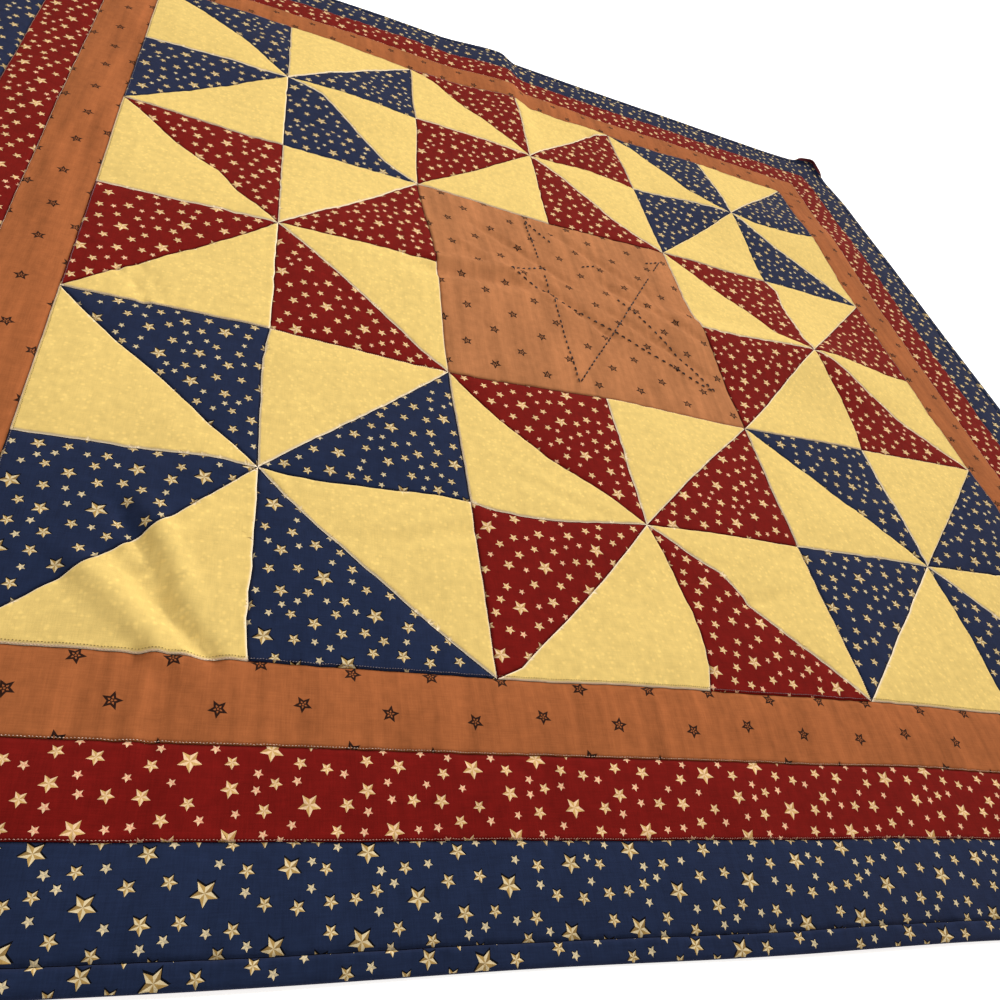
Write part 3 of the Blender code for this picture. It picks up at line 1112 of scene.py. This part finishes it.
def sew(name, lines, offset, kind, thread, seed):
    """One piece of stitches on the left of lines, which are seams where they have an offset."""
    rows = [stitch_line(line, offset, kind, seed + n) for n, line in enumerate(lines)]
    starts = np.vstack([row[0] for row in rows])
    ends = np.vstack([row[1] for row in rows])
    distance = np.full(len(starts), offset or OPEN_CLOTH)
    stands = np.ones(len(starts), bool)
    heights = [top_height(at, distance, stands) for at in (starts, ends)]
    points = stitch_points(starts, ends, heights, kind)
    piece = mesh_object(name, points, stitch_faces(len(starts), kind))
    piece.data.materials.append(thread)
    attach(piece, "root")


def ring_lines(ring):
    """The four sides of a seam that runs round the quilt, the cloth inside on the left."""
    near, far = -NEAR_LINES[ring], FAR_LINES[ring]
    square = closed(rectangle((near, near), (far, far)))
    return [square[n:n + 2] for n in range(4)]


def side_halves(half, at_border):
    """Halves of the pinwheels' sides, the block on the left: 0 for cream ones, 1 for printed."""
    lines = []
    for x in (-1, 0, 1):
        for y in (-1, 0, 1):
            if (x, y) == (0, 0):
                continue
            square = closed(rectangle((x - 0.5, y - 0.5), (x + 0.5, y + 0.5)))
            for start, end in zip(square, square[1:]):
                middle = (start + end) / 2
                if not at_border or np.abs(middle).max() == FIELD_EDGE:
                    lines.append(np.array([[start, middle], [middle, end]][half]))
    return lines


def centre_star_lines():
    """The one-stroke star that is quilted in the centre, through its five points."""
    points = np.array(CENTRE_STAR)
    lines = []
    for a, b, start, end in CENTRE_STROKES:
        way = points[b] - points[a]
        lines.append(np.array([points[a] + start * way, points[a] + end * way]))
    return lines


def make_stitches():
    threads = {name: thread_material(f"{name} thread", THREADS[name]) for name in THREADS}
    blocks = "navy_cream_patchwork"
    rows = (
        ("stitches_cream_edges", side_halves(0, False), 0.0006, "pink", blocks),
        ("stitches_field_cream", side_halves(0, True), 0.0020, "olive", blocks),
        ("stitches_field_print", side_halves(1, True), 0.0013, "lilac", blocks),
        ("stitches_tan_edge", ring_lines(1), 0.0006, "pink", "tan_cotton"),
        ("stitches_red_edge", ring_lines(2), 0.0007, "rose", "red_cotton"),
    )
    for name, lines, offset, thread, slot_name in rows:
        sew(name, lines, offset, SEAM_STITCH, threads[thread], SEED)
    sew("stitches_centre_star", centre_star_lines(), 0.0, QUILT_STITCH, threads["brown"],
        STAR_SEED)


# Materials

class Shading:
    """A material's nodes, added one by one."""

    def __init__(self, name):
        self.material = bpy.data.materials.new(name)
        self.material.use_nodes = True
        self.tree = self.material.node_tree
        self.shader = self.tree.nodes["Principled BSDF"]

    def new(self, kind, **settings):
        node = self.tree.nodes.new(f"ShaderNode{kind}")
        for key, value in settings.items():
            setattr(node, key, value)
        return node

    def link(self, value, socket):
        if isinstance(value, bpy.types.NodeSocket):
            self.tree.links.new(value, socket)
        else:
            socket.default_value = value

    def add(self, kind, inputs, output=0, **settings):
        node = self.new(kind, **settings)
        for key, value in inputs.items():
            self.link(value, node.inputs[key])
        return node.outputs[output]

    def finish(self, values):
        """Sets or links the shader's own sockets."""
        for key, value in values.items():
            self.link(value, self.shader.inputs[key])
        return self.material

    def attribute(self, name, output):
        return self.new("Attribute", attribute_name=name).outputs[output]

    def math(self, operation, a, b=0.0):
        return self.add("Math", {0: a, 1: b}, operation=operation)

    def varied(self, value, amount):
        """A noise about 0, from one about a half."""
        return self.math("MULTIPLY", self.math("SUBTRACT", value, 0.5), amount)

    def scaled(self, vector, scale):
        return self.add("Mapping", {"Vector": vector, "Scale": scale})

    def noise(self, vector, detail=2.0):
        return self.add("TexNoise", {"Vector": vector, "Scale": 1.0, "Detail": detail})

    def ramp(self, value, stops, mode="LINEAR"):
        node = self.new("ValToRGB")
        node.color_ramp.interpolation = mode
        elements = node.color_ramp.elements
        while len(elements) < len(stops):
            elements.new(1.0)
        for element, (place, colour) in zip(elements, stops):
            element.position = place
            element.color = (*colour, 1.0)
        self.link(value, node.inputs["Fac"])
        return node.outputs["Color"]

    def mixed(self, mode, share, a, b):
        node = self.new("Mix", data_type="RGBA", blend_type=mode)
        self.link(share, node.inputs["Factor"])
        self.link(a, node.inputs["A"])
        self.link(b, node.inputs["B"])
        return node.outputs["Result"]


def cloth_light(mat, place, threads, look):
    """How light a cloth is from place to place: its threads, streaks, blotches and flecks."""
    light = mat.math("ADD", 1.0 - look.slub, mat.math("MULTIPLY", threads, look.slub))
    for scale in STREAK_SCALES:
        streaks = mat.noise(mat.scaled(place, scale))
        light = mat.math("ADD", light, mat.varied(streaks, look.streak))
    blotches = mat.noise(mat.scaled(place, BLOTCH_SCALE), BLOTCH_DETAIL)
    light = mat.math("ADD", light, mat.varied(blotches, look.mottle))
    if look.dots:
        cells = {"Vector": mat.scaled(place, FLECK_SCALE), "Scale": 1.0,
                 "Randomness": FLECK_SCATTER}
        flecks = mat.add("TexVoronoi", cells, "Distance")
        flecks = mat.ramp(flecks, FLECK_STOPS)
        light = mat.math("ADD", light, mat.math("MULTIPLY", flecks, look.dots))
    return light


def cloth_colour(mat, light, tones, look):
    """The print's tones under that light, with painted shade and painted highlights beside the seams.
    """
    tone = mat.attribute("tone", "Fac")
    seam = mat.attribute("seam", "Fac")
    steps = [(max(0.0, (n - 0.5) / (TONES - 1)), tones[n]) for n in range(TONES)]
    colour = mat.ramp(tone, steps, "CONSTANT")
    grey = {"Red": light, "Green": light, "Blue": light}
    colour = mat.mixed("MULTIPLY", 1.0, colour, mat.add("CombineColor", grey))
    shaded = mat.math("MULTIPLY", mat.math("MAXIMUM", seam, 0.0), look.shade)
    # Painted shade on the lower side of a seam, and in the gaps between pieces
    colour = mat.mixed("MULTIPLY", shaded, colour, (*PAINTED_SEAM_SHADE, 1.0))
    # Painted highlight on the raised folded edge of a seam
    if look.pale:
        painted_highlight = mat.math("MAXIMUM", mat.math("MULTIPLY", seam, -look.pale), 0.0)
        colour = mat.mixed("MIX", painted_highlight, colour, (*PAINTED_EDGE_HIGHLIGHT, 1.0))
    return colour


def cloth_bump(mat, place, threads):
    """The relief of the weave and of its uneven threads."""
    cross = [mat.add("TexWave", {"Vector": place, "Scale": WEAVE_SCALE},
                         "Fac", bands_direction=way) for way in ("X", "Y")]
    weave = mat.math("MULTIPLY", mat.math("ADD", *cross), 0.5)
    height = mat.math("ADD", weave, mat.math("MULTIPLY", threads, THREAD_RELIEF))
    return mat.add("Bump", {"Strength": BUMP_STRENGTH, "Distance": BUMP_DEPTH,
                                          "Height": height})


def cotton(name, tones, look):
    """A printed cotton: tones by number, threads of uneven thickness along both ways, a weave."""
    mat = Shading(name)
    place = mat.attribute("cloth", "Vector")
    threads = mat.math("ADD", *[mat.noise(mat.scaled(place, scale))
                                    for scale in THREAD_SCALES])
    light = cloth_light(mat, place, threads, look)
    return mat.finish({
        "Base Color": cloth_colour(mat, light, tones, look),
        "Normal": cloth_bump(mat, place, threads),
        "Roughness": 1.0,
        "Specular IOR Level": COTTON_SPECULAR,
        "Sheen Weight": look.veil,
        "Sheen Roughness": VEIL_ROUGHNESS,
        "Sheen Tint": (*VEIL, 1.0),
    })


def thread_material(name, colour):
    """A twisted sewing thread."""
    mat = Shading(name)
    place = mat.add("TexCoord", {}, "Object")
    twist = mat.add("TexNoise", {"Vector": place, "Scale": TWIST_SCALE})
    # Painted shade in the hollows of the twist
    hollow = tuple(TWIST_SHADE * part for part in colour)
    shade = mat.ramp(twist, list(zip(TWIST_STOPS, (hollow, colour))))
    return mat.finish({"Base Color": shade, "Roughness": THREAD_ROUGHNESS})


def make_cloths():
    """The quilt's cottons by name, each with its tones in order."""
    navy = (NAVY, CREAM_STAR, GOLD_FACET, OLIVE_FACET, NAVY_SHADOW, GREY_STAR)
    red = (RED, PALE_STAR, BRASS_FACET, MOSS_FACET, RED, ROSE_STAR)
    tan = (*(TAN,) * INK, TAN_INK)
    faded = (*(FADED_TAN,) * INK, TAN_INK)
    return {
        "cream": cotton("cream cotton", (CREAM,) * TONES, LOOKS["cream"]),
        "navy": cotton("navy star cotton", navy, LOOKS["navy"]),
        "red": cotton("red star cotton", red, LOOKS["red"]),
        "tan": cotton("tan cotton", tan, LOOKS["tan"]),
        "faded_tan": cotton("faded tan cotton", faded, LOOKS["tan"]),
        "wine": cotton("wine cotton", (WINE,) * TONES, LOOKS["wine"]),
    }


# Stage

def make_floor():
    mesh = bpy.data.meshes.new("floor")
    half = FLOOR_SIZE / 2
    mesh.from_pydata([(-half, -half, 0), (half, -half, 0), (half, half, 0), (-half, half, 0)],
                     [], [(0, 1, 2, 3)])
    floor = bpy.data.objects.new("floor", mesh)
    floor.location.z = FLOOR_LEVEL
    bpy.context.scene.collection.objects.link(floor)
    mesh.materials.append(Shading("pale floor").finish({
        "Base Color": FLOOR_COLOUR,
        "Roughness": 1.0,
        "Emission Color": (*WHITE, 1.0),
        "Emission Strength": FLOOR_GLOW,
    }))


def add_light(name, place, aim, size, power, colour):
    data = bpy.data.lights.new(name, "AREA")
    data.shape = "DISK"
    data.size = size
    data.energy = power
    data.color = colour
    light = bpy.data.objects.new(name, data)
    light.location = place
    light.rotation_euler = (Vector(aim) - Vector(place)).to_track_quat("-Z", "Y").to_euler()
    bpy.context.scene.collection.objects.link(light)


def make_lights():
    for light in LIGHTS:
        add_light(*light)
    world = bpy.data.worlds.new("studio")
    world.use_nodes = True
    background = world.node_tree.nodes["Background"]
    background.inputs["Color"].default_value = STUDIO_COLOUR
    background.inputs["Strength"].default_value = STUDIO_STRENGTH
    bpy.context.scene.world = world


def make_camera():
    data = bpy.data.cameras.new("camera")
    data.lens = CAMERA_LENS
    camera = bpy.data.objects.new("camera", data)
    camera.location = CAMERA_PLACE
    camera.rotation_euler = [math.radians(angle) for angle in CAMERA_ANGLES]
    bpy.context.scene.collection.objects.link(camera)
    bpy.context.scene.camera = camera


def make_quilt():
    cloths = make_cloths()
    stars = scattered_stars(SEED)
    prints = {"navy": stars, "red": scattered_stars(SEED + 1), "tan": scattered_outlines(SEED)}
    for row in range(3):
        for column in range(3):
            make_block(row, column, prints, cloths, SEED + 10 * row + column)
    for ring, name in enumerate(BORDER_NAMES):
        for number, side in enumerate(("left", "right", "near", "far")):
            make_strip(name, side, ring, prints, cloths, SEED + 100 + 10 * ring + number)
    make_backing(cloths)
    make_stitches()


make_camera()
make_floor()
make_lights()
make_quilt()
bpy.context.scene.view_settings.view_transform = "Standard"
